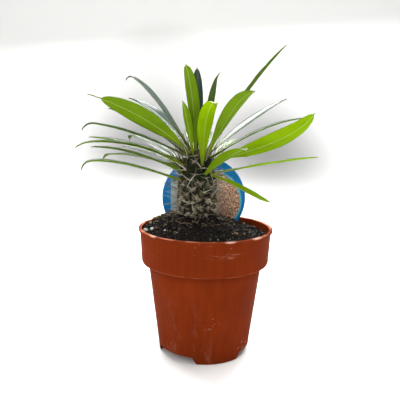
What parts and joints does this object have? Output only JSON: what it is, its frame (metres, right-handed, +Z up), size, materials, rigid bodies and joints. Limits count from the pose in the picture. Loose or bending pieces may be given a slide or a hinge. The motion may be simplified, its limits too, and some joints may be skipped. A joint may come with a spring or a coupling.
{
  "type": "potted pachypodium",
  "caption": "Young spiny-stemmed succulent with a tuft of long narrow leaves, in a small round nursery pot of soil with a round tag behind the stem.",
  "frame": {"origin": "on the pot's axis, at the surface that the foot stands on; the leaves reach equally far to both sides, so it is also the middle of the bounding box's bottom", "axes": "+Z up along the pot's axis, -Y towards the side that the picture shows, +X to that view's right"},
  "size_m": [0.1499, 0.1111, 0.1943],
  "materials": {
    "pot": "satin",
    "soil": "matte",
    "tag": "gloss",
    "stem": "matte",
    "leaf": "satin"
  },
  "bodies": {
    "root": {"pot": "pot", "soil": "soil", "tag": "tag", "stem": "stem", "leaf_01": "leaf", "leaf_02": "leaf", "leaf_03": "leaf", "leaf_04": "leaf", "leaf_05": "leaf", "leaf_06": "leaf", "leaf_07": "leaf", "leaf_08": "leaf", "leaf_09": "leaf", "leaf_10": "leaf", "leaf_11": "leaf", "leaf_12": "leaf", "leaf_13": "leaf", "leaf_14": "leaf", "leaf_15": "leaf", "leaf_16": "leaf", "leaf_17": "leaf", "leaf_18": "leaf", "leaf_19": "leaf", "leaf_20": "leaf", "leaf_21": "leaf", "leaf_22": "leaf", "leaf_23": "leaf", "leaf_24": "leaf", "leaf_25": "leaf", "leaf_26": "leaf", "leaf_27": "leaf", "leaf_28": "leaf"}
  },
  "joints": []
}
